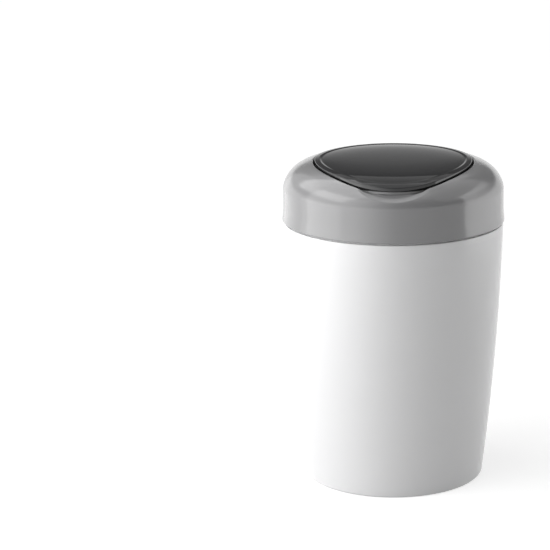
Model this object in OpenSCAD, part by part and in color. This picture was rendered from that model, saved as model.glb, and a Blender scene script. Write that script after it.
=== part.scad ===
// Nappy bin with a film cassette, a funnelled cover and a double-sealed lid.
// Millimetres. The bin stands on z = 0, its axis is +Z and its front faces -Y.

/* [Tub] */
// Height of the tub from the floor to its rim
tub_h = 330; // [300:1:360]
// Outer radius of the foot, where the wall meets the floor
tub_foot_r = 106.8; // [95:0.1:115]
// Step from the cover's wall in to the tub's shoulder
tub_inset = 0.3; // [0.1:0.1:0.9]
// Share of the wall's spread that is straight taper; the rest is a bow
tub_taper_share = 0.3; // [0:0.05:1]
// Thickness of the tub's wall
tub_wall = 2.4; // [1.6:0.1:3]
// Thickness of the tub's floor
tub_floor = 3; // [2:0.1:5]
// Height of the hollow under the floor
foot_hollow_h = 3; // [1:0.1:6]
// Width of the ring that the tub stands on
foot_ring_w = 11; // [6:0.5:20]
// Height of the neck that the cover drops over
neck_h = 21.6; // [14:0.1:26]

/* [Cassette holder] */
// Depth of the holder's well below the tub's rim
well_depth = 30; // [26:0.5:34]
// Thickness of the holder's deck and floor
holder_deck_t = 2; // [1.6:0.1:2.6]
// Thickness of the holder's walls
holder_wall = 2; // [1.6:0.1:2.6]

/* [Cover] */
// Radius of the cover's upright wall
cover_r = 129.5; // [129:0.1:134]
// Thickness of the cover's wall
cover_wall = 2.2; // [1.6:0.1:2.4]
// How far the skirt's lower edge spreads past the wall
skirt_flare = 1.5; // [0:0.1:3]
// Height over which the skirt spreads
flare_h = 18; // [8:1:24]
// Rounding of the skirt's lower edge
skirt_round = 1.6; // [0.4:0.1:1.8]
// Gap between the skirt's lower edge and the tub's shoulder
parting_gap = 1.6; // [0.6:0.1:3]
// Height of the wall above the skirt's lower edge, where the dome starts
wall_h = 37.8; // [34:0.1:42]
// Height of the dome above the wall
dome_h = 33.4; // [32:0.1:36]
// Fullness of the dome's flat top
dome_top_power = 7.12; // [6:0.01:9]
// Fullness of the dome's shoulder
dome_side_power = 1.59; // [1.4:0.01:1.9]
// Number of ribs that stand on the cassette holder
seat_ribs = 12; // [6:1:18]
// Thickness of the moulded ribs
rib_t = 1.8; // [1.2:0.1:2.4]

/* [Lid] */
// Distance from the cover's wall in to the lid's round rear part
rear_margin = 37.5; // [36:0.1:39]
// Distance from the cover's wall in to the lid's front edge
front_margin = 11.5; // [10.5:0.1:15]
// Radius of the lid's nose
lid_nose_r = 74; // [70:0.1:78]
// How far the lid stands proud of the dome
lid_proud = 2; // [1:0.1:3]
// Thickness of the lid's skin
lid_skin = 2.5; // [1.8:0.1:3]
// Depth of the lid's rim below the dome
rim_depth = 2; // [1:0.1:3]
// Width of the raised border round the lid's face
border_w = 7; // [5:0.5:10]
// Depth of the middle of the lid's face below the lid's top
face_dish = 0.6; // [0.3:0.1:1]
// Fall of the lid's face from its middle to its border
face_crown = 1; // [0.2:0.1:1.4]
// Gap round the lid
lid_gap = 2; // [1.6:0.1:2.4]
// Height of the underside of the lid's liner above the ledge
liner_rise = 8; // [7.4:0.1:8.4]
// Thickness of the liner
liner_t = 2; // [1.5:0.1:2.2]

/* [Hinge] */
// Distance of the hinge pin behind the lid's round part
hinge_back = 8; // [7.5:0.1:9]
// Height of the hinge pin above the ledge
hinge_rise = 10; // [9.5:0.1:10.5]
// Diameter of the hinge pin
pin_d = 4; // [3:0.1:5]
// Running clearance round the pin
pin_clear = 0.06; // [0.03:0.01:0.1]
// Outer radius of the knuckles
knuckle_r = 4.5; // [4:0.1:4.6]
// Width of the lid's rear tongue
tongue_w = 56; // [50:1:60]
// Reach of the tongue behind the pin
tongue_back = 6; // [5:0.1:6.5]
// Radius of the pocket that the tongue turns in
pocket_r = 9; // [8.8:0.1:9.4]
// Gap beside the tongue
pocket_side_gap = 2.5; // [1.5:0.1:3]
// Width of one knuckle
knuckle_w = 18; // [12:0.5:18]

/* [Opening] */
// Depth of the ledge below the dome's top
ledge_drop = 18.7; // [17.5:0.1:20]
// Thickness of the ledge
ledge_t = 2.2; // [1.6:0.1:2.6]
// Width of the ledge inside the outer face of the seal wall
ledge_w = 15; // [13:0.1:16]
// Step from the lid's round part in to the wall that the outer seal closes on
seal_inset = 1; // [0.8:0.1:1.5]
// Thickness of that wall
seal_wall_t = 3.4; // [2.4:0.1:4]
// Height of that wall above the ledge
seal_wall_h = 4; // [3:0.1:4.2]

/* [Finger scoop] */
// Radius of the round dish
dish_r = 85; // [75:0.5:95]
// Distance of the dish's centre in front of the lid's front edge
dish_forward = 4; // [2:0.1:6]
// Depth of the dish below the ledge
dish_depth = 4; // [3:0.1:5]

/* [Funnel] */
// Step from the hole in the ledge in to the funnel's mouth
mouth_step = 6; // [5.4:0.1:7]
// Thickness of the lip round the mouth
lip_t = 2.2; // [1.6:0.1:2.4]
// Height of that lip above the ledge
lip_h = 5.5; // [5:0.1:6]
// Step from the mouth in to the throat
throat_step = 10.5; // [9:0.1:14]
// Taper of the throat, on the radius
throat_draft = 1.9; // [0.5:0.1:4]
// Reach of the funnel's lower end below the holder's floor
outlet_drop = 13; // [8:0.5:20]
// Thickness of the funnel's wall
funnel_wall = 2; // [1.5:0.1:2.5]
// Number of snap hooks that hold the funnel to the cover
hooks = 6; // [4:1:8]

/* [Cassette] */
// Gap round the funnel's throat, where the film runs
film_way = 3.5; // [3:0.1:5]
// Width of the cassette's ring
cassette_w = 19.5; // [16:0.1:21]
// Height of the cassette
cassette_h = 48; // [42:0.5:49]
// Thickness of the cassette's walls
cassette_wall = 1.2; // [0.8:0.1:1.5]
// Thickness of the drawn film, shown stouter than real film
film_t = 0.8; // [0.5:0.1:0.9]
// Number of pleats in the packed film
pleats = 18; // [8:1:24]
// Length of the film that hangs below the cassette holder
film_drop = 175; // [120:1:200]
// Radius of the film where it is gathered
gather_r = 6; // [4:0.5:10]

/* [Fits] */
// Gap between pieces that rest on each other
seat_gap = 0.3; // [0.1:0.05:0.5]
// Radial gap between pieces that drop into each other
fit_gap = 0.6; // [0.4:0.1:1]

/* [Hidden] */
$fn = 120;

white = "white";
cover_grey = [0.62, 0.62, 0.63];
smoke = [0.2, 0.2, 0.21];
seal_black = [0.07, 0.07, 0.07];
holder_white = [0.9, 0.9, 0.9];
cassette_blue = [0.75, 0.82, 0.84];
film_white = [0.93, 0.95, 0.96];
steel = [0.72, 0.73, 0.75];

far = 500;              // longer than the whole bin, for cuts
skin_overlap = 0.4;     // how far inner walls run into the skin that carries them

// Levels, from the floor up
shoulder_z = tub_h - neck_h;
skirt_z = shoulder_z + parting_gap;
dome_z = skirt_z + wall_h;
ledge_z = dome_z + dome_h - ledge_drop;
liner_z = ledge_z + liner_rise;
hinge_z = ledge_z + hinge_rise;
dish_z = ledge_z - dish_depth + dish_r;
deck_z = tub_h + seat_gap;
deck_top_z = deck_z + holder_deck_t;
well_floor_z = tub_h - well_depth;
cassette_z = well_floor_z + holder_deck_t + seat_gap;
cassette_top_z = cassette_z + cassette_h;
outlet_z = well_floor_z - outlet_drop;

// Radii and reaches, from the cover's wall in
tub_top_r = cover_r - tub_inset;
neck_r = cover_r - cover_wall - fit_gap;
lid_r = cover_r - rear_margin;
lid_front = cover_r - front_margin;
hinge_y = lid_r + hinge_back;
dish_y = lid_front + dish_forward;
seal_wall_r = lid_r - seal_inset;
seal_wall_in_r = seal_wall_r - seal_wall_t;
ledge_hole_r = seal_wall_r - ledge_w;
mouth_r = ledge_hole_r - mouth_step;
lip_mid_r = mouth_r + lip_t / 2;
throat_r = mouth_r - throat_step;
outlet_r = throat_r - throat_draft;
cassette_bore_r = throat_r + film_way;
cassette_r = cassette_bore_r + cassette_w;
well_r = cassette_r + fit_gap + 0.2;
well_hole_r = cassette_bore_r + 3;
film_lip_r = cassette_wall / 2;
film_inner_r = cassette_bore_r - seat_gap - film_t;

// ---- Profiles ----

// Outer radius of the tub at a height: a straight taper plus a parabolic bow
function tub_r(z) = let (u = (shoulder_z - z) / shoulder_z)
    tub_top_r - (tub_top_r - tub_foot_r) * (tub_taper_share * u + (1 - tub_taper_share) * u * u);

// Points on a quarter round: centre, radius, first and last angle
function arc(cx, cz, r, a0, a1, n = 6) =
    [for (i = [0:n]) [cx + r * cos(a0 + (a1 - a0) * i / n), cz + r * sin(a0 + (a1 - a0) * i / n)]];

// Radius of the cover's wall at a height, moved outwards by grow
function wall_r(z, grow) =
    cover_r + grow + skirt_flare * pow(max(0, skirt_z + flare_h - z) / flare_h, 2);

// Points of the dome, a superellipse, from the wall to the axis
dome_steps = 22;
function dome_points(grow) =
    [for (i = [0:dome_steps]) let (a = 90 * i / dome_steps)
        [(cover_r + grow) * pow(cos(a), 2 / dome_top_power),
         dome_z + (dome_h + grow) * pow(sin(a), 2 / dome_side_power)]];

// Solid of revolution inside the cover's outer face, moved outwards by grow.
// Its lower edge is rounded by edge_round.
module dome_solid(grow, bottom = skirt_z, edge_round = 0) {
    flare_steps = 6;
    first_z = bottom + edge_round;
    rotate_extrude()
        polygon(concat(
            [[0, bottom]],
            edge_round > 0 ? arc(wall_r(first_z, grow) - edge_round, first_z, edge_round, -90, -15, 4) : [],
            [for (i = [0:flare_steps]) let (z = first_z + (skirt_z + flare_h - first_z) * i / flare_steps)
                [wall_r(z, grow), z]],
            dome_points(grow)));
}

// Plan outline of the lid: a round rear, two long side arcs and a nose
nose_y = lid_front - lid_nose_r;
side_r = (nose_y * nose_y + lid_r * lid_r - lid_nose_r * lid_nose_r) / (2 * (lid_r - lid_nose_r));
side_x = side_r - lid_r;
module lid_outline(grow = 0) {
    joint_y = nose_y * (side_r + grow) / (side_r - lid_nose_r);
    intersection() {
        translate([side_x, 0]) circle(side_r + grow);
        translate([-side_x, 0]) circle(side_r + grow);
        translate([-far / 2, -joint_y]) square([far, joint_y]);
    }
    translate([0, -nose_y]) circle(lid_nose_r + grow);
    circle(lid_r + grow);
}

// Upright prism on the lid's outline
module lid_prism(grow, z0, z1) translate([0, 0, z0]) linear_extrude(z1 - z0) lid_outline(grow);

// Upright ring
module ring(r_out, r_in, z0, z1) translate([0, 0, z0]) difference() {
    cylinder(r = r_out, h = z1 - z0);
    translate([0, 0, -1]) cylinder(r = r_in, h = z1 - z0 + 2);
}

// Repeats its children round the axis
module around(count, first = 0) for (i = [0:count - 1]) rotate(first + 360 * i / count) children();

// Radial plate from a profile in radius and height
module radial_plate(points, t) rotate([90, 0, 0]) translate([0, 0, -t / 2]) linear_extrude(t) polygon(points);

// Extrusion along the hinge axis of a side view, drawn with Y to the right and Z up
module hinge_extrusion(w) translate([-w / 2, hinge_y, hinge_z]) rotate([90, 0, 90]) linear_extrude(w) children();

// Cylinder along the hinge axis
module hinge_cylinder(r, w) hinge_extrusion(w) circle(r);

// ---- Tub ----

module tub() color(white) {
    edge_r = 3;
    shoulder_round = 1.4;
    wall_steps = 14;
    hollow_r = tub_r(0) - foot_ring_w;
    inner_z = foot_hollow_h + tub_floor;
    inner_round = 8;
    neck_in_r = neck_r - tub_wall;
    z_first = edge_r;
    z_last = shoulder_z - shoulder_round;
    inner_last = shoulder_z - 6;
    rotate_extrude() polygon(concat(
        [[0, foot_hollow_h], [hollow_r - 2, foot_hollow_h], [hollow_r, 0]],
        arc(tub_r(edge_r) - edge_r, edge_r, edge_r, -90, 0),
        [for (i = [1:wall_steps]) let (z = z_first + (z_last - z_first) * i / wall_steps) [tub_r(z), z]],
        arc(tub_top_r - shoulder_round, z_last, shoulder_round, 15, 90, 4),
        [[neck_r, shoulder_z], [neck_r, tub_h - 1], [neck_r - 0.6, tub_h],
         [neck_in_r + 0.4, tub_h], [neck_in_r, tub_h - 0.6], [neck_in_r, shoulder_z - 1]],
        [for (i = [0:wall_steps])
            let (z = inner_last - (inner_last - inner_z - inner_round) * i / wall_steps) [tub_r(z) - tub_wall, z]],
        arc(tub_r(inner_z + inner_round) - tub_wall - inner_round, inner_z + inner_round, inner_round, -15, -90, 5),
        [[0, inner_z]]));
}

// ---- Cassette holder: a dished tray that hangs in the tub's rim ----

module cassette_holder() color(holder_white) {
    flange_r = neck_r - 0.2;
    ring_r = neck_r - tub_wall - fit_gap;
    ring_h = 9;
    rib_h = 22;
    rotate_extrude() polygon([
        [well_hole_r, well_floor_z], [well_r + holder_wall - 1.5, well_floor_z], [well_r + holder_wall, well_floor_z + 1.5],
        [well_r + holder_wall, deck_z], [ring_r - holder_wall, deck_z], [ring_r - holder_wall, deck_z - ring_h],
        [ring_r - 0.5, deck_z - ring_h], [ring_r, deck_z - ring_h + 2], [ring_r, deck_z], [flange_r, deck_z],
        [flange_r, deck_top_z - 0.5], [flange_r - 0.5, deck_top_z], [well_r + 1.2, deck_top_z], [well_r, deck_top_z - 1.2],
        [well_r, well_floor_z + holder_deck_t], [well_hole_r + 1.2, well_floor_z + holder_deck_t],
        [well_hole_r, well_floor_z + holder_deck_t - 1.2]]);
    around(seat_ribs, 15) radial_plate([
        [well_r + holder_wall - skin_overlap, deck_z - rib_h], [well_r + holder_wall + 2, deck_z - rib_h],
        [ring_r - holder_wall + skin_overlap, deck_z - ring_h + 1], [ring_r - holder_wall + skin_overlap, deck_z + skin_overlap],
        [well_r + holder_wall - skin_overlap, deck_z + skin_overlap]], rib_t);
}

// ---- Film cassette ----

trough_out_r = cassette_r - cassette_wall;
trough_in_r = cassette_bore_r + cassette_wall;
cap_t = 2;
cap_hole_r = trough_in_r + 4.5;

module cassette_tub() color(cassette_blue) {
    rim_z = cassette_top_z - cap_t - seat_gap;
    rotate_extrude() polygon(concat(
        [[cassette_bore_r, cassette_z + 1], [cassette_bore_r + 1, cassette_z], [cassette_r - 1, cassette_z],
         [cassette_r, cassette_z + 1], [cassette_r, rim_z], [trough_out_r, rim_z],
         [trough_out_r, cassette_z + cassette_wall], [trough_in_r, cassette_z + cassette_wall]],
        arc(cassette_bore_r + film_lip_r, cassette_top_z - film_lip_r, film_lip_r, 0, 180, 8)));
}

module cassette_ring() color(cassette_blue) {
    plug_r = trough_out_r - 0.2;
    plug_h = 5;
    rotate_extrude() polygon([
        [cap_hole_r, cassette_top_z - cap_t + 0.6], [cap_hole_r + 0.6, cassette_top_z - cap_t],
        [plug_r - cassette_wall, cassette_top_z - cap_t], [plug_r - cassette_wall, cassette_top_z - cap_t - plug_h],
        [plug_r - 0.3, cassette_top_z - cap_t - plug_h], [plug_r, cassette_top_z - cap_t - plug_h + 1],
        [plug_r, cassette_top_z - cap_t], [cassette_r, cassette_top_z - cap_t], [cassette_r, cassette_top_z - 0.8],
        [cassette_r - 0.8, cassette_top_z], [cap_hole_r + 0.8, cassette_top_z], [cap_hole_r, cassette_top_z - 0.8]]);
}

// Film stowed in the trough as a stack of pleats
module film_pack() color(film_white) {
    fold_depth = 1.4;
    side_gap = 0.5;
    z0 = cassette_z + cassette_wall + seat_gap;
    pack_h = cassette_h - 12;
    r_out = trough_out_r - side_gap;
    r_in = trough_in_r + side_gap;
    rotate_extrude() polygon(concat(
        [for (i = [0:2 * pleats]) [r_out - fold_depth * (i % 2), z0 + pack_h * i / (2 * pleats)]],
        [for (i = [2 * pleats:-1:0]) [r_in + fold_depth * (i % 2), z0 + pack_h * i / (2 * pleats)]]));
}

// Film drawn over the cassette's lip, down the bore and gathered towards the knot
drop_top_z = well_floor_z - 4;
knot_z = drop_top_z - film_drop;
function sleeve_r(s) = gather_r + (film_inner_r + film_t - gather_r) * pow(1 - pow(s, 3), 0.75);

module film_sleeve() color(film_white) {
    lip_x = cassette_bore_r + film_lip_r;
    lip_z = cassette_top_z - film_lip_r;
    bend_in = film_lip_r + seat_gap;
    bend_out = bend_in + film_t;
    tail_z = lip_z - 5.5;
    drop_steps = 16;
    rotate_extrude() polygon(concat(
        [[lip_x + bend_in, tail_z], [lip_x + bend_out, tail_z]],
        arc(lip_x, lip_z, bend_out, 0, 180, 8),
        [for (i = [0:drop_steps]) let (s = i / drop_steps) [sleeve_r(s) - film_t, drop_top_z - film_drop * s]],
        [for (i = [drop_steps:-1:0]) let (s = i / drop_steps) [sleeve_r(s), drop_top_z - film_drop * s]],
        arc(lip_x, lip_z, bend_in, 180, 0, 8)));
}

module film_knot() color(film_white) {
    knot_r = 8;
    tail_h = 22;
    rotate_extrude() polygon(concat(
        [[0, knot_z]], [[gather_r - film_t, knot_z]],
        arc(gather_r - film_t, knot_z - knot_r * 0.6, knot_r * 0.6, 80, -70, 8),
        [[gather_r - 1, knot_z - knot_r * 1.25], [gather_r + 4, knot_z - knot_r - tail_h], [0, knot_z - knot_r - tail_h]]));
}

// ---- Cover ----

pocket_w = tongue_w + 2 * pocket_side_gap;

// Walls inside the skin, cut off by the skin's outer face
module cover_inner_walls() {
    dish_wall = 2.2;
    intersection() {
        dome_solid(-skin_overlap);
        union() {
            difference() {
                lid_prism(lid_gap + cover_wall, ledge_z - ledge_t, far);
                lid_prism(lid_gap, ledge_z, far + 1);
            }
            ring(seal_wall_r, seal_wall_in_r, ledge_z - 1, ledge_z + seal_wall_h);
            difference() {
                translate([0, -dish_y, dish_z]) sphere(dish_r + dish_wall);
                translate([0, 0, -1]) cylinder(r = seal_wall_r - dish_wall, h = far);
            }
            hinge_cylinder(pocket_r + cover_wall, pocket_w + 2 * cover_wall);
        }
    }
}

module cover() color(cover_grey) {
    rib_in_r = neck_r - 8;
    rib_rise = 7.5;
    difference() {
        union() {
            difference() {
                dome_solid(0, skirt_z, skirt_round);
                dome_solid(-cover_wall, skirt_z - 1);
            }
            cover_inner_walls();
            intersection() {
                dome_solid(-skin_overlap);
                around(seat_ribs) radial_plate([
                    [rib_in_r, deck_top_z + seat_gap], [cover_r, deck_top_z + seat_gap],
                    [cover_r, dome_z + rib_rise], [cover_r - cover_wall - 4, dome_z + rib_rise]], rib_t);
            }
        }
        // opening for the lid, down to the ledge
        difference() {
            lid_prism(lid_gap, ledge_z, far);
            translate([0, 0, ledge_z - 1]) cylinder(r = seal_wall_r, h = seal_wall_h + 1);
        }
        cylinder(r = ledge_hole_r, h = far);
        translate([0, 0, ledge_z]) cylinder(r = seal_wall_in_r, h = far);
        // finger scoop, stopped by the wall under the outer seal
        difference() {
            translate([0, -dish_y, dish_z]) sphere(dish_r);
            cylinder(r = seal_wall_r, h = far);
        }
        // pocket for the tongue and the knuckles
        hinge_extrusion(pocket_w) {
            circle(pocket_r);
            translate([-12, 0]) square([12, far]);
        }
        hinge_cylinder(pin_d / 2 + pin_clear, pocket_w + 3);
    }
}

// ---- Funnel ----

module funnel() color(cover_grey) {
    flange_t = 2;
    flange_z = ledge_z;
    flange_r = seal_wall_in_r - fit_gap;
    lip_top_z = ledge_z + lip_h;
    throat_z = cassette_top_z;
    rotate_extrude() polygon([
        [outlet_r - funnel_wall + 0.6, outlet_z], [outlet_r - 0.6, outlet_z], [outlet_r, outlet_z + 0.6],
        [throat_r, throat_z], [mouth_r + lip_t, flange_z - 2], [mouth_r + lip_t, flange_z],
        [flange_r, flange_z], [flange_r, flange_z + flange_t], [mouth_r + lip_t, flange_z + flange_t],
        [mouth_r + lip_t, lip_top_z - 0.6], [mouth_r + lip_t - 0.6, lip_top_z], [mouth_r + 0.6, lip_top_z],
        [mouth_r, lip_top_z - 0.6], [mouth_r, flange_z - 1], [throat_r - funnel_wall, throat_z],
        [outlet_r - funnel_wall, outlet_z + 0.6]]);
    // snap hooks that reach through the ledge and catch under it
    hook_w = 9;
    under_z = ledge_z - ledge_t - seat_gap;
    around(hooks) radial_plate([
        [ledge_hole_r - 2.2, flange_z + 0.5], [ledge_hole_r - 0.4, flange_z + 0.5], [ledge_hole_r - 0.4, under_z],
        [ledge_hole_r + 1.2, under_z], [ledge_hole_r - 0.6, under_z - 2.6], [ledge_hole_r - 2.2, under_z - 2.6]], hook_w);
}

// ---- Lid ----

module lid_tongue(z0, z1) translate([-tongue_w / 2, 0, z0]) cube([tongue_w, hinge_y + tongue_back, z1 - z0]);

// Domed skin with its rear tongue and a shallow face
module lid_skin() difference() {
    intersection() {
        dome_solid(lid_proud);
        union() {
            lid_prism(0, ledge_z, far);
            difference() {
                lid_tongue(ledge_z, far);
                // rounded rear corners of the tongue
                for (side = [-1, 1]) translate([side * tongue_w / 2, hinge_y + tongue_back, 0]) rotate(45)
                    translate([-4, -4, 0]) cube([8, 8, far]);
            }
        }
    }
    // hollow under the skin
    dome_solid(lid_proud - lid_skin);
    // shallow, slightly crowned face inside the border
    intersection() {
        difference() {
            dome_solid(lid_proud + 1);
            intersection() {
                dome_solid(lid_proud - face_dish);
                crowned_slug();
            }
        }
        lid_prism(-border_w, ledge_z, far);
    }
}

// Round slug whose top falls by a parabola, face_crown over the lid's round part
module crowned_slug() {
    steps = 12;
    reach = lid_front + lid_gap;
    top_z = dome_z + dome_h + lid_proud - face_dish;
    rotate_extrude() polygon(concat(
        [[0, ledge_z]], [[reach, ledge_z]],
        [for (i = [steps:-1:0]) let (r = reach * i / steps) [r, top_z - face_crown * pow(r / lid_r, 2)]]));
}

// Turned-down rim round the skin
module lid_rim() intersection() {
    difference() {
        dome_solid(lid_proud - lid_skin + skin_overlap);
        dome_solid(-rim_depth);
    }
    difference() {
        lid_prism(0, ledge_z, far);
        lid_prism(-2.5, ledge_z - 1, far + 1);
    }
}

module lid_panel() color(smoke) {
    lid_skin();
    lid_rim();
}

lid_wall_r = seal_wall_r - 2.6;

module lid_liner() color(smoke) {
    liner_r = seal_wall_r;
    liner_top = liner_z + liner_t;
    under_skin = lid_proud - lid_skin - seat_gap;
    arm_z = liner_top + 1.3;
    boss_r = 12;
    knuckle_x = tongue_w / 2 - knuckle_w / 2 - 1;
    difference() {
        union() {
            translate([0, 0, liner_z]) cylinder(r = liner_r, h = liner_t);
            intersection() {
                dome_solid(under_skin);
                union() {
                    ring(lid_wall_r, lid_wall_r - 2, liner_z + 1, far);
                    around(8, 22.5) radial_plate([
                        [boss_r, liner_z + 1], [lid_wall_r - 1, liner_z + 1], [lid_wall_r - 1, far], [boss_r, far]], rib_t);
                    ring(boss_r + 1, boss_r - 1, liner_z + 1, far);
                    for (side = [-1, 1]) translate([side * knuckle_x, 0, 0]) {
                        hinge_cylinder(knuckle_r, knuckle_w);
                        translate([-knuckle_w / 2, lid_wall_r - 4, arm_z])
                            cube([knuckle_w, hinge_y - lid_wall_r + 4, hinge_z + knuckle_r - arm_z]);
                    }
                }
            }
            // retaining beads either side of the inner seal
            ring(lip_mid_r + 4.2, lip_mid_r + 2.8, liner_z - 1.4, liner_z + 0.5);
            ring(lip_mid_r - 2.8, lip_mid_r - 4.2, liner_z - 1.4, liner_z + 0.5);
        }
        hinge_cylinder(pin_d / 2 + pin_clear, far);
    }
}

// Outer seal: a channel stretched over the liner's edge, closing on the cover's wall
module lid_outer_seal() color(seal_black) {
    liner_r = seal_wall_r;
    top = liner_z + liner_t;
    seal_low = ledge_z + seal_wall_h + seat_gap;
    rotate_extrude() polygon([
        [liner_r - 3.4, liner_z - 0.05], [liner_r - 2.8, seal_low + 0.8], [liner_r - 2, seal_low], [liner_r - 0.6, seal_low],
        [liner_r + 0.2, seal_low + 0.8], [liner_r + 0.9, liner_z], [liner_r + 0.9, top + 0.5], [liner_r + 0.5, top + 0.9],
        [liner_r - 1.6, top + 0.9], [liner_r - 1.6, top + 0.05], [liner_r + 0.05, top + 0.05], [liner_r + 0.05, liner_z - 0.05]]);
}

// Inner seal: closes on the funnel's lip
module lid_inner_seal() color(seal_black) {
    seal_low = ledge_z + lip_h + seat_gap;
    rotate_extrude() polygon([
        [lip_mid_r - 2.6, liner_z], [lip_mid_r - 2.6, liner_z - 1.2], [lip_mid_r - 1.4, seal_low],
        [lip_mid_r + 1.4, seal_low], [lip_mid_r + 2.6, liner_z - 1.2], [lip_mid_r + 2.6, liner_z]]);
}

module hinge_pin() color(steel) hinge_cylinder(pin_d / 2, pocket_w + 2.6);

tub();
cassette_holder();
cassette_tub();
cassette_ring();
film_pack();
film_sleeve();
film_knot();
cover();
funnel();
lid_panel();
lid_liner();
lid_outer_seal();
lid_inner_seal();
hinge_pin();
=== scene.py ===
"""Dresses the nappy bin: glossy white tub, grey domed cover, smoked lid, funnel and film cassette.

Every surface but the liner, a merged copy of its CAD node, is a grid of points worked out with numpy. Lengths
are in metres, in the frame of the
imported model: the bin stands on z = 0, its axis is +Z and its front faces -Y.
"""

import logging
import math
from dataclasses import dataclass
from enum import Enum
from typing import Sequence

import bpy
import numpy as np
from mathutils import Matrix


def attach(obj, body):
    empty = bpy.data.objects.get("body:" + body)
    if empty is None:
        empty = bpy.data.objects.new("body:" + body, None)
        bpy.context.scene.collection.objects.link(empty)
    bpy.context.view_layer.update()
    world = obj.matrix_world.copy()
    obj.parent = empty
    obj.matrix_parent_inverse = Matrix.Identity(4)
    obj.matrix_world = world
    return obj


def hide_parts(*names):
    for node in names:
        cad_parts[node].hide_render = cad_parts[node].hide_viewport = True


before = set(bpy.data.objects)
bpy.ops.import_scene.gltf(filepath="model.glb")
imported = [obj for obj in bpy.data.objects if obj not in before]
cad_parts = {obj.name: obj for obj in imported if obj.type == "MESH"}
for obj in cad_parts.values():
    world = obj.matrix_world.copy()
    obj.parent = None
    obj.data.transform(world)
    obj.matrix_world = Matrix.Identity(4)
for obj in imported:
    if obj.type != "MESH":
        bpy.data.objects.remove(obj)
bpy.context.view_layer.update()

MM = 0.001
TURN = 2.0 * math.pi
LOG = logging.getLogger("nappy_bin")


class Body(str, Enum):
    """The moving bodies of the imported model."""

    TUB = "tub"
    HOLDER = "holder"
    CASSETTE = "cassette"
    COVER = "cover"
    LID = "lid"


# ---------------------------------------------------------------- finishes and mounting


class Graph:
    """Node tree of a material, of the world or of a lamp, made one node at a time."""

    def __init__(self, owner: bpy.types.ID) -> None:
        """Turns the owner's nodes on and clears them."""
        owner.use_nodes = True
        self.nodes, self.links = owner.node_tree.nodes, owner.node_tree.links
        self.nodes.clear()

    def add(self, kind: str, inputs: dict, output: str | int = 0, **settings: str) -> bpy.types.NodeSocket:
        """Adds a node.

        Args:
            kind: Type of the node, without its ShaderNode prefix.
            inputs: For each input, by name or place, its value or the output that feeds it.
            output: Name or place of the output that is wanted.
            settings: The node's own settings, such as its operation.

        Returns:
            That output of the new node.
        """
        node = self.nodes.new(f"ShaderNode{kind}")
        for setting, choice in settings.items():
            setattr(node, setting, choice)
        for key, value in inputs.items():
            if isinstance(value, bpy.types.NodeSocket):
                self.links.new(value, node.inputs[key])
            else:
                node.inputs[key].default_value = value
        return node.outputs[output]

    def end(self, kind: str, surface: bpy.types.NodeSocket) -> None:
        """Feeds the surface to a new output node of this kind."""
        self.links.new(surface, self.nodes.new(f"ShaderNodeOutput{kind}").inputs["Surface"])


@dataclass(frozen=True)
class Finish:
    """A moulded, drawn or rubber finish.

    The colour drifts a little over the surface, and fine grain sets the roughness and a slight relief.
    """

    slot: str
    colour: tuple[float, float, float]
    roughness: float = 0.2
    drift: float = 0.02
    drift_size: float = 9.0
    grain_size: float = 900.0
    grain_rough: float = 0.04
    relief: float = 0.02
    relief_depth: float = 0.00004
    coat: float = 0.0
    coat_rough: float = 0.09
    metallic: float = 0.0
    stretch: tuple[float, float, float] = (1.0, 1.0, 1.0)

    def material(self) -> bpy.types.Material:
        """Builds the node material on Object coordinates.

        Returns:
            The material, made once for each slot.
        """
        name = f"{self.slot}_finish"
        made = bpy.data.materials.get(name)
        if made:
            return made
        made = bpy.data.materials.new(name)
        graph = Graph(made)
        where = graph.add("TexCoord", {}, "Object")
        where = graph.add("Mapping", {"Scale": self.stretch, "Vector": where})
        clouds = graph.add("TexNoise", {"Scale": self.drift_size, "Detail": 3.0, "Vector": where})
        dark = (*[c * (1 - self.drift) for c in self.colour], 1)
        pale = (*[min(1.0, c * (1 + self.drift)) for c in self.colour], 1)
        shade = graph.add("Mix", {"A": dark, "B": pale, "Factor": clouds}, "Result", data_type="RGBA")
        grain = graph.add("TexNoise", {"Scale": self.grain_size, "Detail": 4.0, "Vector": where})
        smoothest = max(0.02, self.roughness - self.grain_rough)
        roughest = self.roughness + self.grain_rough
        rough = graph.add("MapRange", {"To Min": smoothest, "To Max": roughest, "Value": grain})
        bump = graph.add("Bump", {"Strength": self.relief, "Distance": self.relief_depth, "Height": grain})
        graph.end("Material", graph.add("BsdfPrincipled", {
            "Metallic": self.metallic, "Coat Weight": self.coat, "Coat Roughness": self.coat_rough,
            "Base Color": shade, "Roughness": rough, "Normal": bump}))
        return made


WHITE_GLOSS = Finish("tub_white", (0.82, 0.82, 0.825), roughness=0.2, drift=0.004, relief=0.015)
COVER_GREY = Finish("cover_grey", (0.23, 0.23, 0.233), roughness=0.22, drift=0.01, coat=0.6)
SMOKED_GLOSS = Finish("lid_smoke", (0.02, 0.02, 0.021), roughness=0.09, drift=0.05)
LINER_BLACK = Finish("lid_liner", (0.02, 0.02, 0.021), roughness=0.38, grain_rough=0.08, relief=0.12)
SEAL_RUBBER = Finish("seal_rubber", (0.012, 0.012, 0.012), roughness=0.55, grain_rough=0.1, relief=0.3,
                     grain_size=1600.0)
HOLDER_WHITE = Finish("holder_white", (0.72, 0.72, 0.72), roughness=0.35, drift=0.01, relief=0.1)
CASSETTE_BLUE = Finish("cassette_plastic", (0.5, 0.6, 0.63), roughness=0.35, relief=0.08)
FILM = Finish("film", (0.82, 0.86, 0.89), roughness=0.28, drift=0.03, grain_size=300.0, relief=0.25,
              relief_depth=0.0004, stretch=(1.0, 1.0, 0.12))
PIN_STEEL = Finish("pin_steel", (0.6, 0.61, 0.63), roughness=0.3, metallic=1.0, stretch=(0.05, 1.0, 1.0),
                   grain_rough=0.1)


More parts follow.
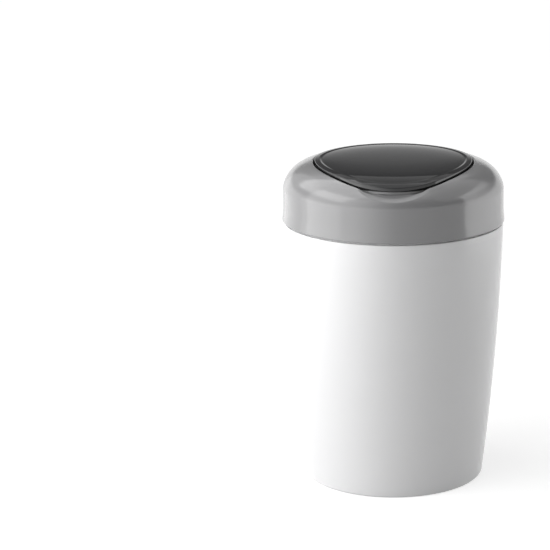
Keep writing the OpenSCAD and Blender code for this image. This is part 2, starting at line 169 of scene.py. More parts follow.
def place(name: str, data: bpy.types.ID) -> bpy.types.Object:
    """Puts a new object with this data into the scene."""
    thing = bpy.data.objects.new(name, data)
    bpy.context.scene.collection.objects.link(thing)
    return thing


def mount(piece: bpy.types.Object, body: Body, finish: Finish, node: str) -> None:
    """Dresses the piece in its finish only and sets it on its body, in place of a CAD node."""
    piece.data.materials.clear()
    piece.data.materials.append(finish.material())
    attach(piece, body.value)
    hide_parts(node)
    LOG.info("%s: %d faces, for %s, on %s", piece.name, len(piece.data.polygons), node, body.value)


# ---------------------------------------------------------------- grids and outlines


def blend_low(a: np.ndarray, b: np.ndarray, width: float) -> np.ndarray:
    """Lower of two heights, rounded over where they cross.

    Formula: with h = max(width - |a - b|, 0) / width, the result is min(a, b) - h * h * width / 4.

    Args:
        a: First heights.
        b: Second heights.
        width: Height difference over which the crossing is rounded.

    Returns:
        The blended heights.
    """
    h = np.maximum(width - np.abs(a - b), 0.0) / width
    return np.minimum(a, b) - h * h * width / 4.0


def ease(t: np.ndarray) -> np.ndarray:
    """Smooth step from 0 to 1: 3t^2 - 2t^3 with t held between 0 and 1."""
    t = np.clip(t, 0.0, 1.0)
    return t * t * (3.0 - 2.0 * t)


def arc(r: float, z: float, radius: float, start: float, end: float, count: int = 8) -> np.ndarray:
    """Points of an arc (r + radius cos a, z + radius sin a), with the angle a from start to end."""
    a = np.linspace(start, end, count)
    return np.stack([r + radius * np.cos(a), z + radius * np.sin(a)], -1)


def rounded(profile: Sequence[tuple[float, float]], radius: float, steps: int = 4) -> np.ndarray:
    """Closed profile with each corner turned into a small quadratic curve.

    Args:
        profile: Corners in radius and height, in order.
        radius: Length taken off each side of a corner, never over 0.45 of the side.
        steps: Spans in each rounded corner.

    Returns:
        Array of points, two columns.
    """
    corner = np.array(profile, float)
    before, after = np.roll(corner, 1, 0) - corner, np.roll(corner, -1, 0) - corner
    reach_b = np.minimum(radius / np.linalg.norm(before, axis=1), 0.45)[:, None]
    reach_a = np.minimum(radius / np.linalg.norm(after, axis=1), 0.45)[:, None]
    start, end = corner + before * reach_b, corner + after * reach_a
    t = np.linspace(0.0, 1.0, steps + 1)[None, :, None]
    curve = (1 - t) ** 2 * start[:, None] + 2 * t * (1 - t) * corner[:, None] + t ** 2 * end[:, None]
    return curve.reshape(-1, 2)


class Shell:
    """A closed or open surface made of grids of points."""

    def __init__(self, name: str) -> None:
        """Starts an empty surface with the piece's name."""
        self.name = name
        self.points: list[np.ndarray] = []
        self.faces: list[np.ndarray] = []
        self.count = 0

    def add_grid(self, grid: np.ndarray, wrap_rows: bool = False, wrap_columns: bool = True,
                 cap_first: bool = False, cap_last: bool = False) -> None:
        """Adds a grid of quads, turned so that a closed one faces outwards.

        Args:
            grid: Points, rows by columns by 3.
            wrap_rows: Whether the last row joins the first.
            wrap_columns: Whether the last column joins the first.
            cap_first: Whether a fan closes the first row at its centre.
            cap_last: Whether a fan closes the last row at its centre.
        """
        rows, columns = grid.shape[:2]
        index = np.arange(rows * columns).reshape(rows, columns)
        if wrap_rows:
            index = np.vstack([index, index[:1]])
        if wrap_columns:
            index = np.hstack([index, index[:, :1]])
        quads = np.stack([index[:-1, :-1], index[:-1, 1:], index[1:, 1:], index[1:, :-1]], -1).reshape(-1, 4)
        points = grid.reshape(-1, 3)
        fans = []
        for wanted, row, turn in ((cap_first, index[0], 1), (cap_last, index[-1], -1)):
            if wanted:
                centre = len(points)
                points = np.vstack([points, points[row[:-1]].mean(0)])
                fans.append(np.stack([row[1:], row[:-1], np.full(len(row) - 1, centre)], -1)[:, ::turn])
        tri = np.vstack([quads[:, [0, 1, 2]], quads[:, [0, 2, 3]], *fans])
        a, b, c = (points[tri[:, k]] for k in range(3))
        if np.einsum("ij,ij->i", a, np.cross(b, c)).sum() < 0:
            quads = quads[:, ::-1]
            fans = [f[:, ::-1] for f in fans]
        self.points.append(points)
        self.faces += [part + self.count for part in (quads, *fans)]
        self.count += len(points)

    def add_revolved(self, profile: np.ndarray, columns: int = 240) -> None:
        """Adds a closed profile turned once round the axis: (r cos a, r sin a, z)."""
        a = np.arange(columns) * TURN / columns
        r, z = profile[:, :1], profile[:, 1:]
        self.add_grid(np.stack([r * np.cos(a), r * np.sin(a), z + 0 * a], -1), wrap_rows=True)

    def add_plates(self, outline: np.ndarray, thickness: float, turns: Sequence[float]) -> None:
        """Adds flat plates that stand along a radius.

        Args:
            outline: Closed outline in radius and height.
            thickness: Thickness of a plate.
            turns: Angle of each plate, in radians.
        """
        soft = min(0.3 * MM, thickness / 4)
        inwards = outline.mean(0) - outline
        inner = outline + inwards / np.linalg.norm(inwards, axis=1)[:, None] * soft
        side = thickness / 2
        layers = [(inner, -side), (outline, -side + soft), (outline, side - soft), (inner, side)]
        flat = np.stack([np.column_stack([line[:, 0], np.full(len(line), y), line[:, 1]])
                         for line, y in layers])
        for a in turns:
            c, s = math.cos(a), math.sin(a)
            turned = flat @ np.array([[c, s, 0], [-s, c, 0], [0, 0, 1]])
            centre = turned.reshape(-1, 3).mean(0)
            plate = Shell("plate")
            plate.add_grid(turned - centre, cap_first=True, cap_last=True)
            self.points.append(plate.points[0] + centre)
            self.faces += [part + self.count for part in plate.faces]
            self.count += plate.count

    def build(self, body: Body, finish: Finish, node: str, crease: float = 40.0) -> bpy.types.Object:
        """Makes the Blender object, dresses it and sets it on its body.

        Args:
            body: The body that it moves with.
            finish: Its finish.
            node: The CAD node that it stands for.
            crease: Angle in degrees above which an edge stays sharp.

        Returns:
            The finished piece.
        """
        mesh = bpy.data.meshes.new(self.name)
        faces = [face for part in self.faces for face in part.tolist()]
        mesh.from_pydata(np.vstack(self.points).tolist(), [], faces)
        mesh.validate()
        mesh.shade_smooth()
        mesh.set_sharp_from_angle(angle=math.radians(crease))
        piece = place(self.name, mesh)
        mount(piece, body, finish, node)
        return piece


@dataclass(frozen=True)
class DomeForm:
    """Outer form of the cover: a flared skirt, an upright wall and a superellipse dome."""

    wall_r: float = 0.1295
    skirt_z: float = 0.310
    flare: float = 0.0015
    flare_h: float = 0.018
    dome_z: float = 0.3478
    dome_h: float = 0.0334
    top_power: float = 7.12
    side_power: float = 1.59

    def height(self, r: np.ndarray, grow: float = 0.0) -> np.ndarray:
        """Height at a radius: z = base + H (1 - (r / R)^n)^(1 / m), moved outwards by grow."""
        share = np.clip(r / (self.wall_r + grow), 0.0, 1.0)
        return self.dome_z + (self.dome_h + grow) * (1.0 - share ** self.top_power) ** (1.0 / self.side_power)

    def angle_at(self, r: np.ndarray, grow: float) -> np.ndarray:
        """Parameter a at which the dome's radius R cos(a)^(2 / n) equals r."""
        return np.arccos(np.clip(r / (self.wall_r + grow), 0.0, 1.0) ** (self.top_power / 2))

    def radius_of(self, z: np.ndarray, grow: float) -> np.ndarray:
        """Radius at a height on the dome: r = R (1 - ((z - base) / H)^m)^(1 / n)."""
        share = np.clip((z - self.dome_z) / (self.dome_h + grow), 0.0, 1.0)
        return (self.wall_r + grow) * (1.0 - share ** self.side_power) ** (1.0 / self.top_power)

    def radius_at(self, a: np.ndarray, grow: float) -> np.ndarray:
        """Radius R cos(a)^(2 / n) at the parameter a."""
        return (self.wall_r + grow) * np.cos(a) ** (2 / self.top_power)

    def skirt_radius(self, z: np.ndarray, grow: float) -> np.ndarray:
        """Radius of the wall, with a parabolic flare towards the skirt's lower edge."""
        low = np.maximum(0.0, self.skirt_z + self.flare_h - z) / self.flare_h
        return self.wall_r + grow + self.flare * low * low


@dataclass(frozen=True)
class EggOutline:
    """Plan outline of the lid: round at the rear, long side arcs and a nose, with a rear tongue."""

    rear_r: float = 0.092
    front: float = 0.118
    nose_r: float = 0.074

    def _exit(self, d: np.ndarray, centre: tuple[float, float], radius: float) -> np.ndarray:
        """Distance from the axis to a circle along the directions d: t = d.c + sqrt((d.c)^2 - c.c + r^2)."""
        c = np.array(centre)
        along = d @ c
        return along + np.sqrt(along ** 2 - c @ c + radius ** 2)

    def reach(self, angle: np.ndarray, grow: float, tongue_half: float = 0.0, tongue_y: float = 0.0
              ) -> np.ndarray:
        """Distance from the axis to the outline.

        Formula: the furthest of the rear circle, the nose's circle, the lens that both side circles make in
        front, up to where they meet the nose, and the tongue's two sides and end.

        Args:
            angle: Directions, in radians from +X.
            grow: How far the outline is moved outwards.
            tongue_half: Half the tongue's width, or 0 for none.
            tongue_y: How far back the tongue reaches.

        Returns:
            One distance for each direction.
        """
        nose_y = self.front - self.nose_r
        side_r = (nose_y ** 2 + self.rear_r ** 2 - self.nose_r ** 2) / (2 * (self.rear_r - self.nose_r))
        side_x = side_r - self.rear_r
        d = np.stack([np.cos(angle), np.sin(angle)], -1)
        lens = np.minimum(self._exit(d, (side_x, 0.0), side_r + grow),
                          self._exit(d, (-side_x, 0.0), side_r + grow))
        joint_y = nose_y * (side_r + grow) / (side_r - self.nose_r)
        forward = np.maximum(-d[:, 1], 1e-9)
        lens = np.where(d[:, 1] < 0, np.minimum(lens, joint_y / forward), 0.0)
        nose = self._exit(d, (0.0, -nose_y), self.nose_r + grow)
        out = np.maximum(np.maximum(lens, nose), self.rear_r + grow)
        if tongue_half:
            back = np.maximum(d[:, 1], 1e-9)
            sides = tongue_half / np.maximum(np.abs(d[:, 0]), 1e-9)
            out = np.maximum(out, np.where(d[:, 1] > 0, np.minimum(sides, tongue_y / back), 0.0))
        return out

    def loop(self, count: int, grow: float, soft: float, tongue_half: float, tongue_y: float,
             scoop_focus: float = 0.0) -> np.ndarray:
        """Outline points with softened corners, closer together at the tongue's corners.

        The softening is a moving average with the weights exp(-(distance / soft)^2 / 2).

        Args:
            count: Number of points.
            grow: How far the outline is moved outwards.
            soft: Width of the softening.
            tongue_half: Half the tongue's width.
            tongue_y: How far back the tongue reaches.
            scoop_focus: How much closer together the points are at the scoop.

        Returns:
            Array of count points, two columns.
        """
        fine = 7200
        angle = np.arange(fine) * TURN / fine - math.pi / 2
        reach = self.reach(angle, grow, tongue_half, tongue_y)
        line = reach[:, None] * np.stack([np.cos(angle), np.sin(angle)], -1)
        line = self._resample(line, fine, np.ones(fine))
        step = np.linalg.norm(np.roll(line, -1, 0) - line, axis=1).mean()
        half = max(1, int(3 * soft / step))
        kernel = np.exp(-0.5 * (np.arange(-half, half + 1) * step / soft) ** 2)
        kernel /= kernel.sum()
        wrapped = np.vstack([line[-half:], line, line[:half]])
        line = np.stack([np.convolve(wrapped[:, k], kernel, "valid") for k in range(2)], -1)
        x, y = line.T
        scoop_y, scoop_r, corner_r, rear_y, corner_focus = -0.11, 0.055, 0.003, 0.08, 5
        scoop = np.exp(-((np.hypot(x, y - scoop_y) / scoop_r) ** 4))
        corner = np.exp(-((np.abs(np.abs(x) - tongue_half) / corner_r) ** 2)) * (y > rear_y)
        return self._resample(line, count, 1 + scoop_focus * scoop + corner_focus * corner)

    @staticmethod
    def _resample(line: np.ndarray, count: int, weight: np.ndarray) -> np.ndarray:
        """Spaces points along a closed line so that each span holds the same length times weight."""
        closed = np.vstack([line, line[:1]])
        length = np.linalg.norm(np.diff(closed, axis=0), axis=1) * weight
        at = np.concatenate([[0.0], np.cumsum(length)])
        wanted = np.arange(count) * at[-1] / count
        return np.stack([np.interp(wanted, at, closed[:, k]) for k in range(2)], -1)


class Rays:
    """Directions from the axis through the points of an outline, on which rows of points are laid."""

    def __init__(self, outline: np.ndarray) -> None:
        """Takes the outline's points."""
        self.r = np.hypot(outline[:, 0], outline[:, 1])
        self.x, self.y = outline[:, 0] / self.r, outline[:, 1] / self.r

    def at(self, r: np.ndarray | float) -> tuple[np.ndarray, np.ndarray]:
        """Places x and y at the radii r."""
        return self.x * r, self.y * r

    def grid(self, rows: Sequence[tuple]) -> np.ndarray:
        """Grid of points, a row for each pair of radii and heights."""
        return np.stack([np.stack(np.broadcast_arrays(*self.at(r), z), -1) for r, z in rows])


DOME = DomeForm()
EGG = EggOutline()


# ---------------------------------------------------------------- tub


@dataclass
class Tub:
    """White tapered tub with a bowed wall, a foot ring and a neck."""

    height: float = 0.330
    shoulder_z: float = 0.3084
    top_r: float = 0.1292
    foot_r: float = 0.1068
    straight_share: float = 0.3
    wall: float = 0.0024
    neck_r: float = 0.1267
    foot_hollow: float = 0.003
    floor: float = 0.003
    foot_ring: float = 0.011
    edge_r: float = 0.003
    shoulder_round: float = 0.0014
    inner_round: float = 0.008

    def radius(self, z: np.ndarray | float) -> np.ndarray | float:
        """Outer radius: a straight taper plus a parabolic bow, both counted down from the shoulder."""
        u = (self.shoulder_z - z) / self.shoulder_z
        share = self.straight_share * u + (1 - self.straight_share) * u * u
        return self.top_r - (self.top_r - self.foot_r) * share

    def profile(self) -> np.ndarray:
        """Closed half section, from the foot's edge up the wall, down inside and out under the floor."""
        hollow_r = float(self.radius(0.0)) - self.foot_ring
        edge_c = float(self.radius(self.edge_r)) - self.edge_r
        edge = arc(edge_c, self.edge_r, self.edge_r, -math.pi / 2, 0.0)
        z = np.linspace(self.edge_r, self.shoulder_z - self.shoulder_round, 48)[1:-1]
        wall = np.stack([self.radius(z), z], -1)
        s = self.shoulder_round
        shoulder = arc(self.top_r - s, self.shoulder_z - s, s, 0.0, math.pi / 2)
        out_r, in_r, top = self.neck_r, self.neck_r - self.wall, self.height
        rim = np.array([[out_r + 0.0002, self.shoulder_z], [out_r, self.shoulder_z + 0.0002],
                        [out_r, top - 0.0009], [out_r - 0.0003, top - 0.0002], [out_r - 0.0009, top],
                        [in_r + 0.0005, top], [in_r, top - 0.0005], [in_r, self.shoulder_z - 0.001]])
        turn_r = self.inner_round
        z = np.linspace(self.shoulder_z - 0.006, self.foot_hollow + self.floor + turn_r, 32)
        inside = np.stack([self.radius(z) - self.wall, z], -1)
        corner = arc(inside[-1, 0] - turn_r, z[-1], turn_r, -0.2, -math.pi / 2)
        bottom = np.array([[0.06, z[-1] - turn_r], [0.0002, z[-1] - turn_r], [0.0002, self.foot_hollow],
                           [hollow_r - 0.002, self.foot_hollow], [hollow_r, 0.0]])
        return np.vstack([edge, wall, shoulder, rim, inside, corner, bottom])

    def build(self) -> None:
        """Makes the tub."""
        shell = Shell("white_tub")
        shell.add_revolved(self.profile(), 320)
        shell.build(Body.TUB, WHITE_GLOSS, "tub")


# ---------------------------------------------------------------- cover and funnel


@dataclass
class Cover:
    """Grey domed cover with the lid's opening, a finger scoop, a seal wall and a hinge pocket."""

    wall: float = 0.0022
    skirt_round: float = 0.0016
    lid_gap: float = 0.002
    ledge_z: float = 0.3625
    ledge_hole_r: float = 0.076
    seal_wall_r: float = 0.091
    seal_wall_t: float = 0.0034
    seal_wall_h: float = 0.004
    dish_r: float = 0.300
    dish_y: float = 0.26696
    dish_z: float = 0.62245
    dish_soft: float = 0.0007
    collar_step: float = 0.0032
    collar_t: float = 0.0016
    collar_h: float = 0.0045
    collar_sweep: float = 0.75
    collar_ease: float = 0.15
    collar_foot: float = 0.0018
    hinge_y: float = 0.100
    hinge_z: float = 0.3725
    pocket_r: float = 0.009
    pocket_half: float = 0.0305
    edge_soft: float = 0.0011
    tongue_y: float = 0.1087
    columns: int = 560
    seat_ribs: int = 12
    rib_t: float = 0.0018

    def dish(self, x: np.ndarray, y: np.ndarray, grow: float) -> np.ndarray:
        """Height of the scoop's round bowl: centre height minus sqrt(R^2 - distance^2), high outside it."""
        flat = (self.dish_r + grow) ** 2 - x ** 2 - (y + self.dish_y) ** 2
        return np.where(flat > 0, self.dish_z - np.sqrt(np.maximum(flat, 0.0)), self.dish_z)

    def pocket(self, y: np.ndarray, grow: float) -> np.ndarray:
        """Height of the trough under the hinge pin: pin height minus sqrt(R^2 - distance^2)."""
        return self.hinge_z - np.sqrt(np.maximum(0.0, (self.pocket_r + grow) ** 2 - (y - self.hinge_y) ** 2))

    def floor(self, x: np.ndarray, y: np.ndarray, grow: float) -> np.ndarray:
        """Height of the floor inside the opening: the ledge, the scoop's bowl or the hinge trough.

        In front of the collar the ledge is raised by collar_foot, so that the bowl runs up to the collar.

        Args:
            x: Places across.
            y: Places along.
            grow: Wall thickness added below, or 0 for the upper face.

        Returns:
            One height for each place.
        """
        angle, r = np.arctan2(y, x), np.hypot(x, y)
        ahead = ease((self.collar_sweep + self.collar_ease - np.abs(angle + math.pi / 2)) / self.collar_ease)
        ahead = ahead * ease((r - EGG.reach(angle, -self.collar_step - 0.001)) / 0.0008)
        step = np.full_like(x, self.ledge_z - grow) + self.collar_foot * ahead
        ledge = blend_low(step, self.dish(x, y, grow), 0.0004)
        trough = ease((r - self.seal_wall_r - 0.0026) / 0.0008)
        trough = trough * (y > 0) * (np.abs(x) < self.pocket_half + 0.004)
        return ledge * (1 - trough) + self.pocket(y, grow) * trough

    def skin(self, x: np.ndarray, y: np.ndarray, z: np.ndarray, grow: float) -> np.ndarray:
        """Height z of the dome with the scoop cut into it and its rim rounded."""
        return blend_low(z, self.dish(x, y, -grow), self.dish_soft)

    def collar(self) -> np.ndarray:
        """Low wall under the lid's front edge.

        It follows the lid's outline, moved in by collar_step, and its height eases to nothing at both
        ends.

        Returns:
            Grid of points: stations along the outline by points of the closed section.
        """
        angle = -math.pi / 2 + np.linspace(-self.collar_sweep, self.collar_sweep, 161)
        out, back = (EGG.reach(angle, -step) for step in (self.collar_step, self.collar_step + self.collar_t))
        rise = ease((self.collar_sweep - np.abs(angle + math.pi / 2)) / 0.16)
        top = self.ledge_z + self.collar_h * rise - 0.0002
        c, low = 0.0004, np.full_like(top, self.ledge_z - 0.0006)
        section = [(out, low), (out, top - c), (out - 0.3 * c, top - 0.3 * c), (out - c, top),
                   (back + c, top), (back + 0.3 * c, top - 0.3 * c), (back, top - c), (back, low)]
        return np.stack([np.stack([r * np.cos(angle), r * np.sin(angle), z], -1) for r, z in section], 1)

    def _outside(self, rays: Rays, r: np.ndarray) -> np.ndarray:
        """Height of the outer face at the radii r."""
        return self.skin(*rays.at(r), DOME.height(r), 0.0)

    def _upper(self, rays: Rays) -> list[tuple]:
        """Radii and heights of the rows seen from above, from the skirt's edge in to the ledge's hole."""
        rows: list[tuple] = []
        # skirt and upright wall
        for a in np.linspace(-math.pi / 2, 0.0, 6):
            z = DOME.skirt_z + self.skirt_round * (1 + math.sin(a))
            rows.append((DOME.skirt_radius(np.array(z), 0.0) - self.skirt_round * (1 - math.cos(a)), z))
        for z in np.linspace(DOME.skirt_z + self.skirt_round, DOME.dome_z, 12)[1:]:
            rows.append((DOME.skirt_radius(np.array(z), 0.0), z))
        # dome up to the opening
        low = self.floor(*rays.at(rays.r), 0.0)
        soft = np.minimum(self.edge_soft, 0.5 * np.maximum(self._outside(rays, rays.r) - low, 0.0))
        last = DOME.angle_at(rays.r + soft, 0.0)
        for s in np.linspace(0.0, 1.0, 50)[1:]:
            r = DOME.radius_at(last * s, 0.0)
            rows.append((r, self._outside(rays, r)))
        top = self._outside(rays, rays.r + soft)
        for a in np.linspace(0.0, math.pi / 2, 6)[1:]:
            rows.append((rays.r + soft * (1 - math.sin(a)), top - soft * (1 - math.cos(a))))
        # wall of the opening and its floor
        for s in (0.35, 0.7, 1.0):
            rows.append((rays.r, (top - soft) * (1 - s) + (low + 0.6 * soft) * s))
        for s in np.linspace(0.0, 1.0, 24)[1:]:
            r = rays.r + (self.seal_wall_r - rays.r) * s
            rows.append((r, self.floor(*rays.at(r), 0.0)))
        # wall that the outer seal closes on
        wall_top, c = self.ledge_z + self.seal_wall_h, 0.4 * MM
        inner = self.seal_wall_r - self.seal_wall_t
        return rows + [(self.seal_wall_r, wall_top - c), (self.seal_wall_r - c, wall_top),
                       (inner + c, wall_top), (inner, wall_top - c), (inner, self.ledge_z),
                       (self.ledge_hole_r, self.ledge_z)]

    def _under(self, rays: Rays) -> list[tuple]:
        """Radii and heights of the underside's rows, from the ledge's hole out to the skirt's edge."""
        low_z, step_r, curb_r = self.ledge_z - self.wall, self.seal_wall_r - self.wall, rays.r + self.wall
        rows: list[tuple] = [(self.ledge_hole_r, low_z), (step_r, low_z)]
        for s in np.linspace(0.0, 1.0, 14):
            r = step_r + (curb_r - step_r) * s
            rows.append((r, np.minimum(self.floor(*rays.at(r), self.wall), DOME.height(r, -self.wall))))
        curb_z = DOME.height(curb_r, -self.wall)
        rows.append((curb_r, np.minimum(curb_z, self.skin(*rays.at(curb_r), curb_z, -self.wall))))
        last = DOME.angle_at(curb_r, -self.wall)
        for s in np.linspace(1.0, 0.0, 22)[1:]:
            r = DOME.radius_at(last * s, -self.wall)
            rows.append((r, self.skin(*rays.at(r), DOME.height(r, -self.wall), -self.wall)))
        for z in np.linspace(DOME.dome_z, DOME.skirt_z + 0.2 * MM, 10)[1:]:
            rows.append((DOME.skirt_radius(np.array(z), -self.wall), z))
        return rows + [(DOME.skirt_radius(np.array(DOME.skirt_z), -self.wall) + 0.3 * MM, DOME.skirt_z)]

    def build(self) -> None:
        """Makes the cover, with its seat ribs and the low wall in the same piece."""
        rays = Rays(EGG.loop(self.columns, self.lid_gap, 0.0006, self.pocket_half, self.tongue_y,
                             scoop_focus=1.6))
        shell = Shell("grey_cover")
        shell.add_grid(rays.grid(self._upper(rays) + self._under(rays)), wrap_rows=True)
        foot_z, top_z, sunk = 0.3326, DOME.dome_z + 0.0075, 0.0008
        z = np.linspace(DOME.dome_z, top_z, 8)
        edge = np.stack([DOME.radius_of(z, -sunk), z], -1)
        rib = np.vstack([[(0.1192, foot_z), (DOME.wall_r - sunk, foot_z)], edge,
                         [(0.1233, top_z), (0.1187, foot_z + 0.0005)]])
        shell.add_plates(rib, self.rib_t, [TURN * k / self.seat_ribs for k in range(self.seat_ribs)])
        shell.add_grid(self.collar(), cap_first=True, cap_last=True)
        shell.build(Body.COVER, COVER_GREY, "cover")


@dataclass
class Funnel:
    """Funnel that drops through the cassette, with a lip for the inner seal and snap hooks."""

    mouth_r: float = 0.070
    lip_t: float = 0.0022
    flange_r: float = 0.087
    flange_z: float = 0.3625
    flange_t: float = 0.002
    lip_h: float = 0.0055
    throat_r: float = 0.0595
    throat_z: float = 0.3503
    outlet_r: float = 0.0576
    outlet_z: float = 0.287
    wall: float = 0.002
    hooks: int = 6
    hook_w: float = 0.009

    def build(self) -> None:
        """Makes the funnel."""
        out_r, z, lip_z = self.mouth_r + self.lip_t, self.flange_z, self.flange_z + self.lip_h
        flange_top = z + self.flange_t
        profile = rounded([
            (self.outlet_r - self.wall, self.outlet_z), (self.outlet_r, self.outlet_z),
            (self.throat_r, self.throat_z), (out_r, z - 0.002), (out_r, z), (self.flange_r, z),
            (self.flange_r, flange_top), (out_r, flange_top), (out_r, lip_z), (self.mouth_r, lip_z),
            (self.mouth_r, z - 0.001), (self.throat_r - self.wall, self.throat_z)], 0.0009)
        shell = Shell("grey_funnel")
        shell.add_revolved(profile, 288)
        r, under = 0.076, self.flange_z - 0.0025
        hook = rounded([(r - 0.0022, z + 0.0005), (r - 0.0004, z + 0.0005), (r - 0.0004, under),
                        (r + 0.0012, under), (r - 0.0006, under - 0.0026), (r - 0.0022, under - 0.0026)],
                       0.0003, 2)
        shell.add_plates(hook, self.hook_w, [TURN * k / self.hooks for k in range(self.hooks)])
        shell.build(Body.COVER, COVER_GREY, "funnel")


# ---------------------------------------------------------------- lid


@dataclass
class Lid:
    """Smoked lid skin, its black liner with hinge knuckles, and two seals."""

    proud: float = 0.002
    skin: float = 0.0025
    rim_depth: float = 0.001
    rim_w: float = 0.0025
    border: float = 0.007
    face_dish: float = 0.0004
    face_crown: float = 0.001
    crease_w: float = 0.0032
    edge_soft: float = 0.0007
    tongue_half: float = 0.028
    tongue_y: float = 0.106
    columns: int = 480

    def face(self, r: np.ndarray, border_r: np.ndarray) -> np.ndarray:
        """Height of the lid's upper side: the dome's form at the border, and a flatter face inside it.

        Formula: border (1 - k) + face k, where k eases from 0 to 1 over the crease at border_r.

        Args:
            r: Radii.
            border_r: Radius of the crease in the same directions.

        Returns:
            One height for each radius.
        """
        whole = DOME.height(r, self.proud)
        flat = DOME.dome_z + DOME.dome_h + self.proud - self.face_dish
        flat = blend_low(whole - self.face_dish, flat - self.face_crown * (r / EGG.rear_r) ** 2, 0.0016)
        inside = ease((border_r - r) / self.crease_w + 0.5)
        return whole * (1 - inside) + flat * inside

    def build_panel(self) -> None:
        """Makes the egg-shaped skin: a raised border, a shallow face and a turned-down rim."""
        rays = Rays(EGG.loop(self.columns, 0.0, 0.0012, self.tongue_half, self.tongue_y))
        edge_r, angle = rays.r, np.arctan2(rays.y, rays.x)
        border_r = EGG.reach(angle, -self.border)
        on_tongue = ease((edge_r - EGG.reach(angle, 0.0)) / 0.002)
        low_grow = -self.rim_depth + on_tongue * (self.rim_depth + self.proud - self.skin)
        s0 = self.edge_soft
        first, start = border_r - 1.5 * self.crease_w, border_r + 1.2 * self.crease_w
        radii = [first * s for s in np.linspace(0.02, 1.0, 30)]
        radii += [first + (start - first) * s for s in np.linspace(0.0, 1.0, 12)[1:]]
        radii += [start + (edge_r - s0 - start) * s for s in np.linspace(0.0, 1.0, 8)[1:]]
        rows = [(r, self.face(r, border_r)) for r in radii]
        edge_top = rows[-1][1]
        slope = (edge_top - self.face(edge_r - s0 - 0.5 * MM, border_r)) / (0.5 * MM)
        for a in np.linspace(0.0, math.pi / 2, 8)[1:]:
            rows.append((edge_r - s0 * (1 - math.sin(a)),
                         edge_top + slope * s0 * math.sin(a) - s0 * (1 - math.cos(a))))
        # underside: the rim, then the inside of the skin
        c = 0.4 * MM
        rim_r = edge_r - self.rim_w
        for r, lift in ((edge_r, c), (edge_r - c, 0.0), (rim_r + c, 0.0), (rim_r, c)):
            rows.append((r, DOME.height(r, low_grow) + lift))
        for s in np.linspace(1.0, 0.02, 24):
            r = (rim_r - 0.2 * MM) * s
            rows.append((r, DOME.height(r, self.proud - self.skin)))
        shell = Shell("smoked_lid")
        shell.add_grid(rays.grid(rows), cap_first=True, cap_last=True)
        shell.build(Body.LID, SMOKED_GLOSS, "lid_panel", crease=50.0)

    def build_liner(self) -> None:
        """Makes a merged and softly bevelled copy of the liner, whose ribs and knuckles are already true."""
        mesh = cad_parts["lid_liner"].data.copy()
        mesh.name = "black_liner"
        mesh.shade_smooth()
        piece = place(mesh.name, mesh)
        weld = piece.modifiers.new("weld", "WELD")
        weld.merge_threshold = 1e-6
        soften = piece.modifiers.new("bevel", "BEVEL")
        soften.width = 0.3 * MM
        soften.segments = 2
        soften.limit_method = "ANGLE"
        soften.angle_limit = math.radians(35)
        mount(piece, Body.LID, LINER_BLACK, "lid_liner")

    def build_seals(self) -> None:
        """Makes the outer seal, a channel on the liner's edge, and the inner seal with its soft lip."""
        r, z, top, low = 0.091, 0.3705, 0.3725, 0.3668
        outer = Shell("outer_seal")
        outer.add_revolved(rounded([
            (r - 0.0034, z), (r - 0.0028, low + 0.0008), (r - 0.002, low), (r - 0.0006, low),
            (r + 0.0002, low + 0.0008), (r + 0.0009, z), (r + 0.0009, top + 0.0005),
            (r + 0.0005, top + 0.0009), (r - 0.0016, top + 0.0009), (r - 0.0016, top), (r, top), (r, z)],
            0.0003, 3), 256)
        outer.build(Body.LID, SEAL_RUBBER, "lid_outer_seal")
        r, low = 0.0711, 0.3683
        inner = Shell("inner_seal")
        inner.add_revolved(rounded([
            (r - 0.0026, z), (r - 0.0026, z - 0.0012), (r - 0.0014, low), (r + 0.0014, low),
            (r + 0.0026, z - 0.0012), (r + 0.0026, z)], 0.0006, 3), 256)
        inner.build(Body.LID, SEAL_RUBBER, "lid_inner_seal")

    def build(self) -> None:
        """Makes the whole lid."""
        self.build_panel()
        self.build_liner()
        self.build_seals()


# ---------------------------------------------------------------- cassette


